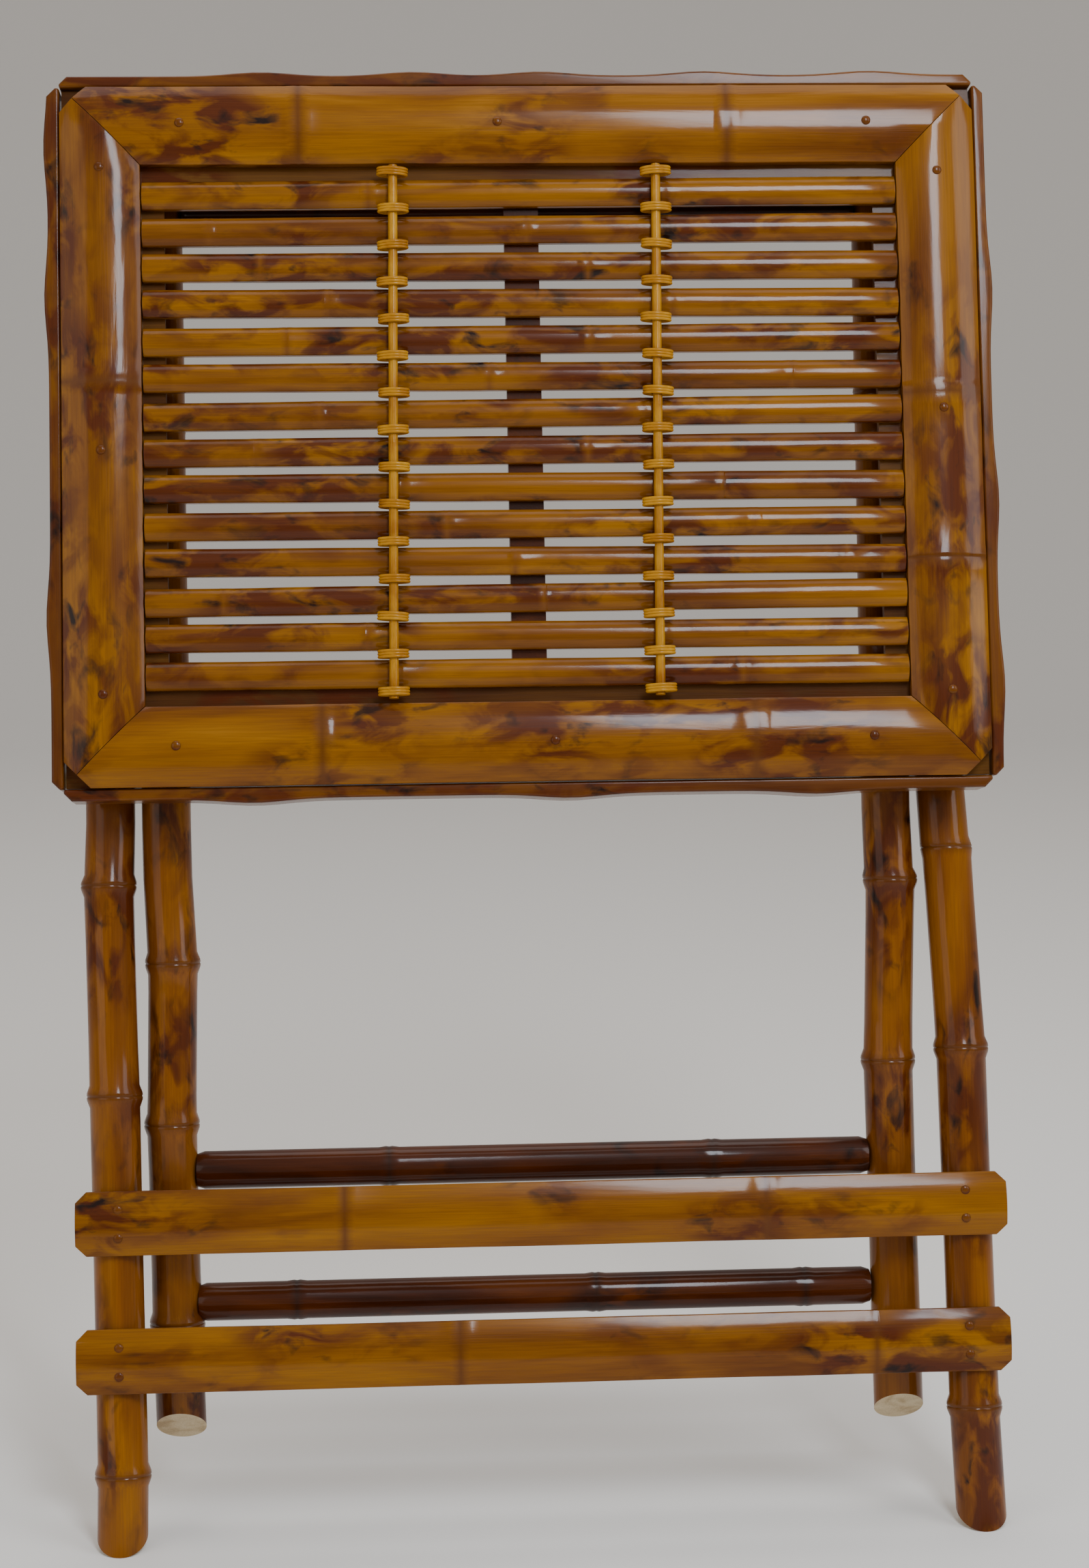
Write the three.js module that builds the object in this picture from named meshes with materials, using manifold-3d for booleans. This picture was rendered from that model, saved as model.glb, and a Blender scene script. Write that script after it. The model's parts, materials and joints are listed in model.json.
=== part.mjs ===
// Folding tray table of split and round bamboo, shown folded and leaning back a little.
// Millimetres, +Z up, +X to the right, the tray face looks towards -Y.
// The origin lies on the floor under the middle of the folded table's box.

import * as THREE from "three";
import { mergeVertices } from "three/addons/utils/BufferGeometryUtils.js";
import Module from "manifold-3d";

const wasm = await Module();
wasm.setup();

const degree = Math.PI / 180;
const gap = 0.3;
const runningGap = 0.35;

// Linkage: distances along the legs, seen from the side
const leanAngle = 13 * degree;
const foldedAngle = 4 * degree;
const hingeToFoot = 785;
const hingeToBolt = 352;
const crossbarToBolt = 331;
const openSlide = 325;
const innerFootCut = 34 * degree;

// Poles and bars
const poleRadius = 14.5;
const poleNodeRise = 0.8;
const poleNodeHalf = 7;
const poleSides = 18;
const poleInset = 20.8;
const polePitch = 32.2;
const outerNodes = [36, 126, 262, 400, 560, 690];
const innerNodes = [-341, -265, -193, -101, 73, 208];
const rungRadius = 11;
const tenonRadius = 6;
const tenonDepth = 8;
const upperRungDrop = 228;
const lowerRungDrop = 305;
const stretcherWidth = 37;
const stretcherEdge = 3;
const stretcherCrown = 7;
const stretcherOverhang = 24.3;
const stretcherShift = 4;
const upperStretcherHeight = 178;
const lowerStretcherHeight = 100;
const boltRadius = 3;
const boltHeadRadius = 6;
const boltHeadLength = 3.5;

// Tray panel
const openingWidth = 438;
const openingHeight = 313;
const mouldingWidth = 46;
const mouldingEdge = 7;
const mouldingCrown = 13;
const cornerClip = 15;
const fasciaThickness = 9.7;
const fasciaFront = 5;
const fasciaBack = 22;
const hingeFromEdge = 55;
const hingeDepth = 48;
const ledgeThickness = 6;
const ledgeReach = 13;
const slatCount = 14;
const slatWidth = 16.4;
const slatEdge = 4.5;
const slatCrown = 8;
const slatEndSpace = 8.55;
const battenWidth = 20;
const battenThickness = 10;
const rattanRadius = 2.8;
const rattanX = 76;
const cheekThickness = 4.5;
const cheekHalf = 28;
const cheekReach = 14;
const pinRadius = 3;
const pinHeadRadius = 5.5;
const pinHeadLength = 3;
const cleatWidth = 20;
const cleatDepth = 17;
const cleatLength = 20;

// Places that follow from the sizes above
const crossbarDepth = hingeDepth - crossbarToBolt * Math.sin(foldedAngle);
const depthStep = hingeDepth - crossbarDepth;
const openReach = Math.hypot(openSlide, depthStep);
const openScissor = Math.acos(
  (hingeToBolt ** 2 + crossbarToBolt ** 2 - openReach ** 2) / (2 * hingeToBolt * crossbarToBolt));
const hingeCorner = Math.acos(
  (hingeToBolt ** 2 + openReach ** 2 - crossbarToBolt ** 2) / (2 * hingeToBolt * openReach));
const openSwing = hingeCorner - Math.atan2(depthStep, openSlide);
const outerLeanOpen = Math.PI / 2 - openSwing;
const innerLeanOpen = openScissor - outerLeanOpen;
const boltToFoot = hingeToFoot - hingeToBolt;
const innerBoltToFoot = boltToFoot * Math.cos(outerLeanOpen) / Math.cos(innerLeanOpen);
const mouldingHalfWidth = openingWidth / 2 + mouldingWidth;
const mouldingHalfHeight = openingHeight / 2 + mouldingWidth;
const outerPoleX = mouldingHalfWidth - poleInset;
const innerPoleX = outerPoleX - polePitch;
const stretcherLength = 2 * (outerPoleX + stretcherOverhang);
const slatPitch = (openingHeight - slatWidth - 2 * slatEndSpace) / (slatCount - 1);
const innerPoleFace = innerPoleX - poleRadius;
const outerPoleFace = outerPoleX + poleRadius;
const panelCentre = mouldingHalfHeight + gap + fasciaThickness - hingeFromEdge;

const colours = {
  honeyBamboo: 0xc98a2b,
  burntBamboo: 0xa8641f,
  darkBamboo: 0x6a2f14,
  rattan: 0xd9a85a,
  paleCane: 0xdcc08a,
  brass: 0xb08a3c,
};

function material(name, roughness = 0.3, metalness = 0) {
  return new THREE.MeshStandardMaterial({ color: colours[name], roughness, metalness });
}

function node(name, geometry, look) {
  const mesh = new THREE.Mesh(geometry, look);
  mesh.name = name;
  return mesh;
}

function toSolid(geometry) {
  const bare = geometry.clone();
  bare.deleteAttribute("normal");
  bare.deleteAttribute("uv");
  const merged = mergeVertices(bare, 1e-4);
  const corners = merged.index.array;
  const faces = [];
  for (let i = 0; i < corners.length; i += 3) {
    const [a, b, c] = [corners[i], corners[i + 1], corners[i + 2]];
    if (a !== b && b !== c && a !== c) {
      faces.push(a, b, c);
    }
  }
  return new wasm.Manifold(new wasm.Mesh({
    numProp: 3,
    vertProperties: Float32Array.from(merged.attributes.position.array),
    triVerts: Uint32Array.from(faces),
  }));
}

function toGeometry(solid) {
  const mesh = solid.getMesh();
  const geometry = new THREE.BufferGeometry();
  geometry.setAttribute("position", new THREE.Float32BufferAttribute(mesh.vertProperties, 3));
  geometry.setIndex(Array.from(mesh.triVerts));
  geometry.computeVertexNormals();
  return geometry;
}

function cut(geometry, ...tools) {
  let solid = toSolid(geometry);
  for (const tool of tools) {
    solid = solid.subtract(toSolid(tool));
  }
  return toGeometry(solid);
}

function box(x0, x1, y0, y1, z0, z1) {
  const geometry = new THREE.BoxGeometry(x1 - x0, y1 - y0, z1 - z0);
  return geometry.translate((x0 + x1) / 2, (y0 + y1) / 2, (z0 + z1) / 2);
}

// A solid of revolution lying along X, from [x, radius] pairs
function turned(profile, sides = poleSides) {
  const points = profile.map(([x, radius]) => new THREE.Vector2(radius, x));
  return new THREE.LatheGeometry(points, sides).rotateZ(-Math.PI / 2);
}

function rod(x0, x1, radius, sides = poleSides) {
  return turned([[x0, 0], [x0, radius], [x1, radius], [x1, 0]], sides);
}

// A flat-backed strip with a rounded crown: length along X, width along Z, crown towards -Y
function strip(length, width, edge, crown, arcSteps = 8) {
  const rise = crown - edge;
  const radius = (width * width / 4 + rise * rise) / (2 * rise);
  const spread = Math.asin(width / 2 / radius);
  const shape = new THREE.Shape();
  shape.moveTo(-width / 2, 0);
  shape.lineTo(width / 2, 0);
  shape.absarc(0, crown - radius, radius, Math.PI / 2 - spread, Math.PI / 2 + spread, false);
  const geometry = new THREE.ExtrudeGeometry(shape, {
    depth: length, bevelEnabled: false, curveSegments: arcSteps,
  });
  geometry.translate(0, 0, -length / 2);
  const turn = new THREE.Matrix4().makeBasis(
    new THREE.Vector3(0, 0, 1), new THREE.Vector3(0, -1, 0), new THREE.Vector3(1, 0, 0));
  return geometry.applyMatrix4(turn);
}

// A round pole standing on Z with raised rings at its nodes and a domed top
function pole(bottom, top, nodes) {
  const domeSteps = 5;
  const profile = [new THREE.Vector2(0, bottom), new THREE.Vector2(poleRadius, bottom)];
  for (const height of nodes) {
    profile.push(new THREE.Vector2(poleRadius, height - poleNodeHalf));
    profile.push(new THREE.Vector2(poleRadius + poleNodeRise, height));
    profile.push(new THREE.Vector2(poleRadius, height + poleNodeHalf));
  }
  for (let step = 0; step <= domeSteps; step += 1) {
    const angle = step / domeSteps * Math.PI / 2;
    const radius = step === domeSteps ? 0 : poleRadius * Math.cos(angle);
    profile.push(new THREE.Vector2(radius, top + poleRadius * Math.sin(angle)));
  }
  return new THREE.LatheGeometry(profile, poleSides).rotateX(Math.PI / 2);
}

// A block below a slanted foot: its top face passes through (0, height)
function footBlock(height, angle) {
  const size = 120;
  const block = box(-size / 2, size / 2, -size, size, -size, 0);
  return block.rotateX(angle).translate(0, 0, height);
}

function outerLeg(side) {
  const spare = 30;
  const raw = pole(-spare, hingeToFoot, outerNodes);
  const boltHole = rod(-spare, spare, boltRadius + runningGap).translate(0, 0, boltToFoot);
  const leg = cut(raw, footBlock(0, outerLeanOpen), boltHole);
  return leg.translate(side * outerPoleX, 0, 0);
}

// Bars enter the inner legs from the middle of the table
function tenonHole(side, height) {
  const reach = poleRadius + gap;
  const inner = Math.min(-side * reach, -side * (poleRadius - tenonDepth - gap));
  const outer = Math.max(-side * reach, -side * (poleRadius - tenonDepth - gap));
  return rod(inner, outer, tenonRadius + runningGap, 14).translate(0, 0, height);
}

function innerLeg(side) {
  const spare = 30;
  const foot = -innerBoltToFoot;
  const nodes = innerNodes.filter((height) => height > foot + 2 * poleNodeHalf);
  const raw = pole(foot - spare, crossbarToBolt, nodes);
  const boltHole = rod(-spare, spare, boltRadius + runningGap);
  const holes = [crossbarToBolt, -upperRungDrop, -lowerRungDrop].map((z) => tenonHole(side, z));
  const leg = cut(raw, footBlock(foot, -innerFootCut), boltHole, ...holes);
  return leg.translate(side * innerPoleX, 0, 0);
}

function bar() {
  const shoulder = innerPoleFace - gap;
  const end = innerPoleFace + tenonDepth;
  const chamfer = 2;
  return turned([
    [-end, 0], [-end, tenonRadius], [-shoulder, tenonRadius], [-shoulder, rungRadius - chamfer],
    [-shoulder + chamfer, rungRadius], [0, rungRadius + poleNodeRise],
    [shoulder - chamfer, rungRadius], [shoulder, rungRadius - chamfer],
    [shoulder, tenonRadius], [end, tenonRadius], [end, 0],
  ], 16);
}

function stretcher(height) {
  const geometry = strip(stretcherLength, stretcherWidth, stretcherEdge, stretcherCrown);
  return geometry.translate(stretcherShift, -poleRadius - gap, height);
}

function scissorBolt(side) {
  const headStart = outerPoleFace + gap;
  const nutStart = innerPoleFace - gap;
  const geometry = turned([
    [nutStart - boltHeadLength, 0], [nutStart - boltHeadLength, boltHeadRadius],
    [nutStart, boltHeadRadius], [nutStart, boltRadius], [headStart, boltRadius],
    [headStart, boltHeadRadius], [headStart + boltHeadLength, boltHeadRadius * 0.7],
    [headStart + boltHeadLength, 0],
  ], 14);
  return side > 0 ? geometry : geometry.rotateZ(Math.PI);
}

// A mitred face moulding for the top side of a panel whose outer half length is given
function moulding(halfLength, halfAcross) {
  const raw = strip(2 * halfLength, mouldingWidth, mouldingEdge, mouldingCrown, 12);
  raw.translate(0, 0, halfAcross - mouldingWidth / 2);
  const inner = halfAcross - mouldingWidth;
  const innerLength = halfLength - mouldingWidth;
  const mitreGap = gap / 2;
  const outline = new THREE.Shape();
  outline.moveTo(-innerLength + mitreGap, -inner);
  outline.lineTo(-halfLength + cornerClip * 0.5 + mitreGap, -halfAcross + cornerClip * 0.5);
  outline.lineTo(-halfLength + cornerClip, -halfAcross);
  outline.lineTo(halfLength - cornerClip, -halfAcross);
  outline.lineTo(halfLength - cornerClip * 0.5 - mitreGap, -halfAcross + cornerClip * 0.5);
  outline.lineTo(innerLength - mitreGap, -inner);
  const depth = 4 * mouldingCrown;
  const mask = new THREE.ExtrudeGeometry(outline, { depth, bevelEnabled: false });
  mask.translate(0, 0, -depth / 2).rotateX(-Math.PI / 2);
  return toGeometry(toSolid(raw).intersect(toSolid(mask)));
}

// The wavy edge strip along the top side: bulges stand at the bamboo's nodes
function fascia(halfLength, halfAcross, bulges) {
  const baseShare = 0.76;
  const corner = fasciaThickness * baseShare * 0.7;
  const bulgeSpread = 26;
  const steps = 36;
  const offset = (s) => {
    const swell = bulges.reduce((sum, b) => sum + Math.exp(-(((s - b) / bulgeSpread) ** 2)), 0);
    return fasciaThickness * (baseShare + (1 - baseShare) * Math.min(1, swell));
  };
  const shape = new THREE.Shape();
  shape.moveTo(-halfLength + gap, 0);
  shape.lineTo(halfLength - gap, 0);
  shape.lineTo(halfLength + corner - gap, corner);
  for (let step = 0; step <= steps; step += 1) {
    const s = halfLength - 2 - step / steps * 2 * (halfLength - 2);
    shape.lineTo(s, offset(s));
  }
  shape.lineTo(-halfLength - corner + gap, corner);
  const depth = fasciaFront + fasciaBack;
  const geometry = new THREE.ExtrudeGeometry(shape, { depth, bevelEnabled: false });
  return geometry.rotateX(Math.PI / 2).translate(0, fasciaBack, halfAcross + gap);
}

function ledge(name, x0, x1, z0, z1) {
  return node(name, box(x0, x1, gap, gap + ledgeThickness, z0, z1), material("paleCane", 0.5));
}

function slat(index) {
  const length = openingWidth - 2 * gap;
  const height = (slatCount - 1) / 2 * slatPitch - index * slatPitch;
  return strip(length, slatWidth, slatEdge, slatCrown, 6).translate(0, 0, height);
}

function rattanCore(side) {
  const reach = openingHeight / 2 - gap - 1;
  const bow = 0.6;
  const depth = slatCrown + rattanRadius + gap;
  const path = new THREE.CatmullRomCurve3([-1, -0.5, 0, 0.5, 1].map((t) => new THREE.Vector3(
    side * rattanX + 2 * t, -depth - bow * (1 - t * t), t * reach)));
  const section = new THREE.Shape().absarc(0, 0, rattanRadius, 0, 2 * Math.PI, false);
  return new THREE.ExtrudeGeometry(section, { steps: 14, extrudePath: path, curveSegments: 5 });
}

function hingeCheek(side) {
  const inner = outerPoleFace + poleNodeRise + 1;
  const top = ledgeThickness + 2 * gap;
  const plate = box(inner, inner + cheekThickness, top, hingeDepth + cheekReach, -cheekHalf, cheekHalf);
  const hole = rod(inner - 1, inner + cheekThickness + 1, pinRadius + gap, 12);
  hole.translate(0, hingeDepth, 0);
  const cheek = cut(plate, hole).translate(0, 0, panelCentre);
  return side > 0 ? cheek : cheek.translate(-2 * inner - cheekThickness, 0, 0);
}

function hingePin(side) {
  const inner = outerPoleFace + poleNodeRise + 0.4;
  const face = outerPoleFace + poleNodeRise + 1 + cheekThickness + gap;
  const geometry = turned([
    [inner, 0], [inner, pinRadius], [face, pinRadius], [face, pinHeadRadius],
    [face + pinHeadLength, pinHeadRadius * 0.6], [face + pinHeadLength, 0],
  ], 12);
  const placed = side > 0 ? geometry : geometry.rotateZ(Math.PI);
  return placed.translate(0, hingeDepth, panelCentre);
}

function stopCleat(side) {
  const outer = innerPoleFace - 2;
  const x0 = side > 0 ? outer - cleatWidth : -outer;
  const start = panelCentre - openSlide - rungRadius - poleNodeRise - gap;
  const top = ledgeThickness + 2 * gap;
  return box(x0, x0 + cleatWidth, top, top + cleatDepth, start - cleatLength, start);
}

function buildPanel() {
  const panel = new THREE.Group();
  const halfTurn = Math.PI;
  const sides = [
    ["top", 0, mouldingHalfWidth, mouldingHalfHeight, [-150, -62, 12, 108, 205]],
    ["right", halfTurn / 2, mouldingHalfHeight, mouldingHalfWidth, [-82, 42, 150]],
    ["bottom", halfTurn, mouldingHalfWidth, mouldingHalfHeight, [-165, -22, 158]],
    ["left", -halfTurn / 2, mouldingHalfHeight, mouldingHalfWidth, [-106, 80, 168]],
  ];
  for (const [name, turn, halfLength, halfAcross, bulges] of sides) {
    const face = moulding(halfLength, halfAcross).rotateY(turn);
    panel.add(node(`moulding_${name}`, face, material("honeyBamboo")));
    const edge = fascia(halfLength, halfAcross, bulges).rotateY(turn);
    panel.add(node(`edge_fascia_${name}`, edge, material("burntBamboo")));
  }
  const ledgeIn = openingHeight / 2 - ledgeReach;
  const ledgeOut = mouldingHalfHeight - gap;
  const ledgeX = mouldingHalfWidth - 2 * gap;
  const ledgeInX = openingWidth / 2 - ledgeReach;
  panel.add(ledge("ledge_top", -ledgeX, ledgeX, ledgeIn, ledgeOut));
  panel.add(ledge("ledge_bottom", -ledgeX, ledgeX, -ledgeOut, -ledgeIn));
  panel.add(ledge("ledge_left", -ledgeX, -ledgeInX, -ledgeIn + gap, ledgeIn - gap));
  panel.add(ledge("ledge_right", ledgeInX, ledgeX, -ledgeIn + gap, ledgeIn - gap));
  for (let index = 0; index < slatCount; index += 1) {
    const name = `slat_${String(index + 1).padStart(2, "0")}`;
    panel.add(node(name, slat(index), material("honeyBamboo")));
  }
  const battenHalf = battenWidth / 2;
  const battenEnd = ledgeIn - gap;
  const batten = box(-battenHalf, battenHalf, gap, gap + battenThickness, -battenEnd, battenEnd);
  panel.add(node("centre_batten", batten, material("darkBamboo")));
  for (const [name, side] of [["left", -1], ["right", 1]]) {
    panel.add(node(`rattan_core_${name}`, rattanCore(side), material("rattan")));
    panel.add(node(`hinge_cheek_${name}`, hingeCheek(side), material("darkBamboo")));
    panel.add(node(`hinge_pin_${name}`, hingePin(side), material("brass", 0.4, 1)));
    panel.add(node(`stop_cleat_${name}`, stopCleat(side), material("darkBamboo")));
  }
  return panel;
}

function buildInnerFrame() {
  const frame = new THREE.Group();
  frame.add(node("inner_leg_left", innerLeg(-1), material("honeyBamboo")));
  frame.add(node("inner_leg_right", innerLeg(1), material("honeyBamboo")));
  const heights = [
    ["top_crossbar", crossbarToBolt], ["upper_rung", -upperRungDrop], ["lower_rung", -lowerRungDrop],
  ];
  for (const [name, height] of heights) {
    frame.add(node(name, bar().translate(0, 0, height), material("darkBamboo")));
  }
  return frame;
}

function buildTable() {
  const table = new THREE.Group();
  const outer = new THREE.Group();
  outer.rotation.x = -leanAngle;
  outer.add(node("outer_leg_left", outerLeg(-1), material("honeyBamboo")));
  outer.add(node("outer_leg_right", outerLeg(1), material("honeyBamboo")));
  outer.add(node("upper_stretcher", stretcher(upperStretcherHeight), material("honeyBamboo")));
  outer.add(node("lower_stretcher", stretcher(lowerStretcherHeight), material("honeyBamboo")));
  for (const [name, side] of [["left", -1], ["right", 1]]) {
    const bolt = scissorBolt(side).translate(0, 0, boltToFoot);
    outer.add(node(`scissor_bolt_${name}`, bolt, material("brass", 0.4, 1)));
  }
  const inner = buildInnerFrame();
  inner.position.z = boltToFoot;
  inner.rotation.x = foldedAngle;
  outer.add(inner);
  const panel = buildPanel();
  panel.position.set(0, -hingeDepth, hingeToFoot - panelCentre);
  outer.add(panel);
  table.add(outer);
  table.updateMatrixWorld(true);
  const bounds = new THREE.Box3().setFromObject(table, true);
  const middle = bounds.getCenter(new THREE.Vector3());
  table.position.set(-middle.x, -middle.y, -bounds.min.z);
  return table;
}

export default buildTable();
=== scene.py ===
import bmesh
import bpy
import json
import math
import random
from mathutils import Matrix, Vector


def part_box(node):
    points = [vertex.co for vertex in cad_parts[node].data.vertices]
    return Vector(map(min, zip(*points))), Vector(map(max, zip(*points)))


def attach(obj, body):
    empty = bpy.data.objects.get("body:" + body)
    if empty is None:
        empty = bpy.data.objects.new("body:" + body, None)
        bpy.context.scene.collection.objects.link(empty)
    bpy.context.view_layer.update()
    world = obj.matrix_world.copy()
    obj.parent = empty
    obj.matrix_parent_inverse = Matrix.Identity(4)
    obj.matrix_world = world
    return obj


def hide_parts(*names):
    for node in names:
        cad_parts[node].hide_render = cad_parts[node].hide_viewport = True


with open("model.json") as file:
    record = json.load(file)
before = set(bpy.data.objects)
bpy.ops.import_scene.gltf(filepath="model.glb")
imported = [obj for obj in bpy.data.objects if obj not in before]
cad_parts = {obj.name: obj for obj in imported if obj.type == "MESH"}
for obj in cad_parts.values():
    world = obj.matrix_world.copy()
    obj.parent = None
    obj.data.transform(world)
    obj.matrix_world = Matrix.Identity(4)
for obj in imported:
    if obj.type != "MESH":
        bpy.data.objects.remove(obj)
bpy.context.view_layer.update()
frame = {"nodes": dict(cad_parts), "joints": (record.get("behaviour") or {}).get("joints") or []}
random.seed(7)
print("frame loaded")

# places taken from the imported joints
joints = {joint["name"]: joint for joint in frame["joints"]}
legUp = Vector(joints["tray_slide"]["axis"]).normalized()
boltPlace = Vector(joints["scissor"]["pos_m"])
barPlace = Vector(joints["crossbar_turn"]["pos_m"])
lean = math.atan2(legUp.y, legUp.z)
innerLean = math.atan2((barPlace - boltPlace).y, (barPlace - boltPlace).z)
boltToBar = (barPlace - boltPlace).length
outerPlace = Matrix.Translation(boltPlace) @ Matrix.Rotation(-lean, 4, "X")
innerPlace = Matrix.Translation(boltPlace) @ Matrix.Rotation(-innerLean, 4, "X")
battenLow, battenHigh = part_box("centre_batten")
battenMiddle = (Vector(battenLow) + Vector(battenHigh)) / 2
battenDepth = 0.0053      # from the back of the slats to the middle of the batten
onLoop = 0.0002           # how near a point lies to a loop that it belongs to
trayPlace = Matrix.Translation(battenMiddle) @ Matrix.Rotation(-lean, 4, "X")
trayPlace = trayPlace @ Matrix.Translation((0, -battenDepth, 0))


def only(piece):
    bpy.ops.object.select_all(action="DESELECT")
    piece.select_set(True)
    bpy.context.view_layer.objects.active = piece


def editing(piece):
    only(piece)
    bpy.ops.object.mode_set(mode="EDIT")
    bpy.ops.mesh.select_mode(type="VERT")


def doneEditing():
    bpy.ops.object.mode_set(mode="OBJECT")


def pick(piece, test):
    mesh = bmesh.from_edit_mesh(piece.data)
    for vertex in mesh.verts:
        vertex.select = test(vertex.co)
    mesh.select_flush_mode()
    bmesh.update_edit_mesh(piece.data)


def loopAt(place, direction):
    bpy.ops.mesh.select_all(action="SELECT")
    bpy.ops.mesh.bisect(plane_co=place, plane_no=direction)


def trim(place, direction):
    bpy.ops.mesh.select_all(action="SELECT")
    bpy.ops.mesh.bisect(plane_co=place, plane_no=direction, use_fill=True, clear_outer=True)


def applyAll(piece):
    only(piece)
    for modifier in list(piece.modifiers):
        bpy.ops.object.modifier_apply(modifier=modifier.name)


def soften(piece, width, steps=2, angle=35):
    bevel = piece.modifiers.new("edge", "BEVEL")
    bevel.width = width
    bevel.segments = steps
    bevel.limit_method = "ANGLE"
    bevel.angle_limit = math.radians(angle)
    applyAll(piece)


def roughen(piece, strength, size):
    texture = bpy.data.textures.new(piece.name + "_wander", "CLOUDS")
    texture.noise_scale = size
    texture.noise_depth = 1
    wander = piece.modifiers.new("wander", "DISPLACE")
    wander.texture = texture
    wander.texture_coords = "LOCAL"
    wander.strength = strength
    wander.mid_level = 0.5
    applyAll(piece)


def rememberGrain(piece, axis, nodes, half, shift):
    # grain runs along the piece, ring is 1 on a node line
    mesh = piece.data
    mesh.attributes.new("grain", "FLOAT_VECTOR", "POINT")
    mesh.attributes.new("ring", "FLOAT", "POINT")
    grain = mesh.attributes["grain"]      # fetched after both exist, as adding one moves the other
    ring = mesh.attributes["ring"]
    for index, vertex in enumerate(mesh.vertices):
        along = vertex.co[axis]
        others = [vertex.co[k] for k in range(3) if k != axis]
        grain.data[index].vector = (along + shift, others[0] + shift * 0.37, others[1])
        near = min([abs(along - node) for node in nodes] or [1])
        ring.data[index].value = max(0.0, 1.0 - near / half)


def join(parts, name):
    bpy.ops.object.select_all(action="DESELECT")
    for part in parts:
        part.select_set(True)
    bpy.context.view_layer.objects.active = parts[0]
    bpy.ops.object.join()
    parts[0].name = name
    parts[0].data.name = name
    return parts[0]


def copyOf(piece):
    twin = piece.copy()
    twin.data = piece.data.copy()
    bpy.context.collection.objects.link(twin)
    return twin


def traySide(turn):
    # half the length of the tray's side and its distance from the middle
    sizes = (mouldings["halfWidth"], mouldings["halfHeight"])
    return sizes if turn in (0, 180) else (sizes[1], sizes[0])


def settle(piece, place, body, slotName, *nodes):
    piece.matrix_world = place @ piece.matrix_world
    only(piece)
    bpy.ops.object.transform_apply(location=True, rotation=True, scale=True)
    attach(piece, body)
    if nodes:
        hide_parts(*nodes)


def wire(tree, source, target):
    tree.links.new(source, target)


def ramp(tree, factor, stops):
    node = tree.nodes.new("ShaderNodeValToRGB")
    elements = node.color_ramp.elements
    while len(elements) < len(stops):
        elements.new(0.5)
    for element, (place, colour) in zip(elements, stops):
        element.position = place
        element.color = (*colour, 1)
    wire(tree, factor, node.inputs["Fac"])
    return node.outputs["Color"]


def stretchedNoise(tree, vector, stretch, detail=3, distortion=0.0):
    mapping = tree.nodes.new("ShaderNodeMapping")
    mapping.inputs["Scale"].default_value = stretch
    wire(tree, vector, mapping.inputs["Vector"])
    noise = tree.nodes.new("ShaderNodeTexNoise")
    noise.inputs["Scale"].default_value = 1
    noise.inputs["Detail"].default_value = detail
    noise.inputs["Distortion"].default_value = distortion
    wire(tree, mapping.outputs["Vector"], noise.inputs["Vector"])
    return noise.outputs["Fac"]


def mixed(tree, kind, amount, first, second):
    node = tree.nodes.new("ShaderNodeMix")
    node.data_type = "RGBA"
    node.blend_type = kind
    for value, socket in ((amount, 0), (first, 6), (second, 7)):
        if isinstance(value, bpy.types.NodeSocket):
            wire(tree, value, node.inputs[socket])
        else:
            node.inputs[socket].default_value = value
    return node.outputs[2]


varnish = {
    "specular": 0.06, "coatIor": 1.38, "fibreBump": 0.25, "fibreDepth": 0.0006,
    "rippleBump": 0.2, "rippleDepth": 0.002, "fibreShare": 0.55, "smoother": 0.05, "rougher": 0.12,
}


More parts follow.
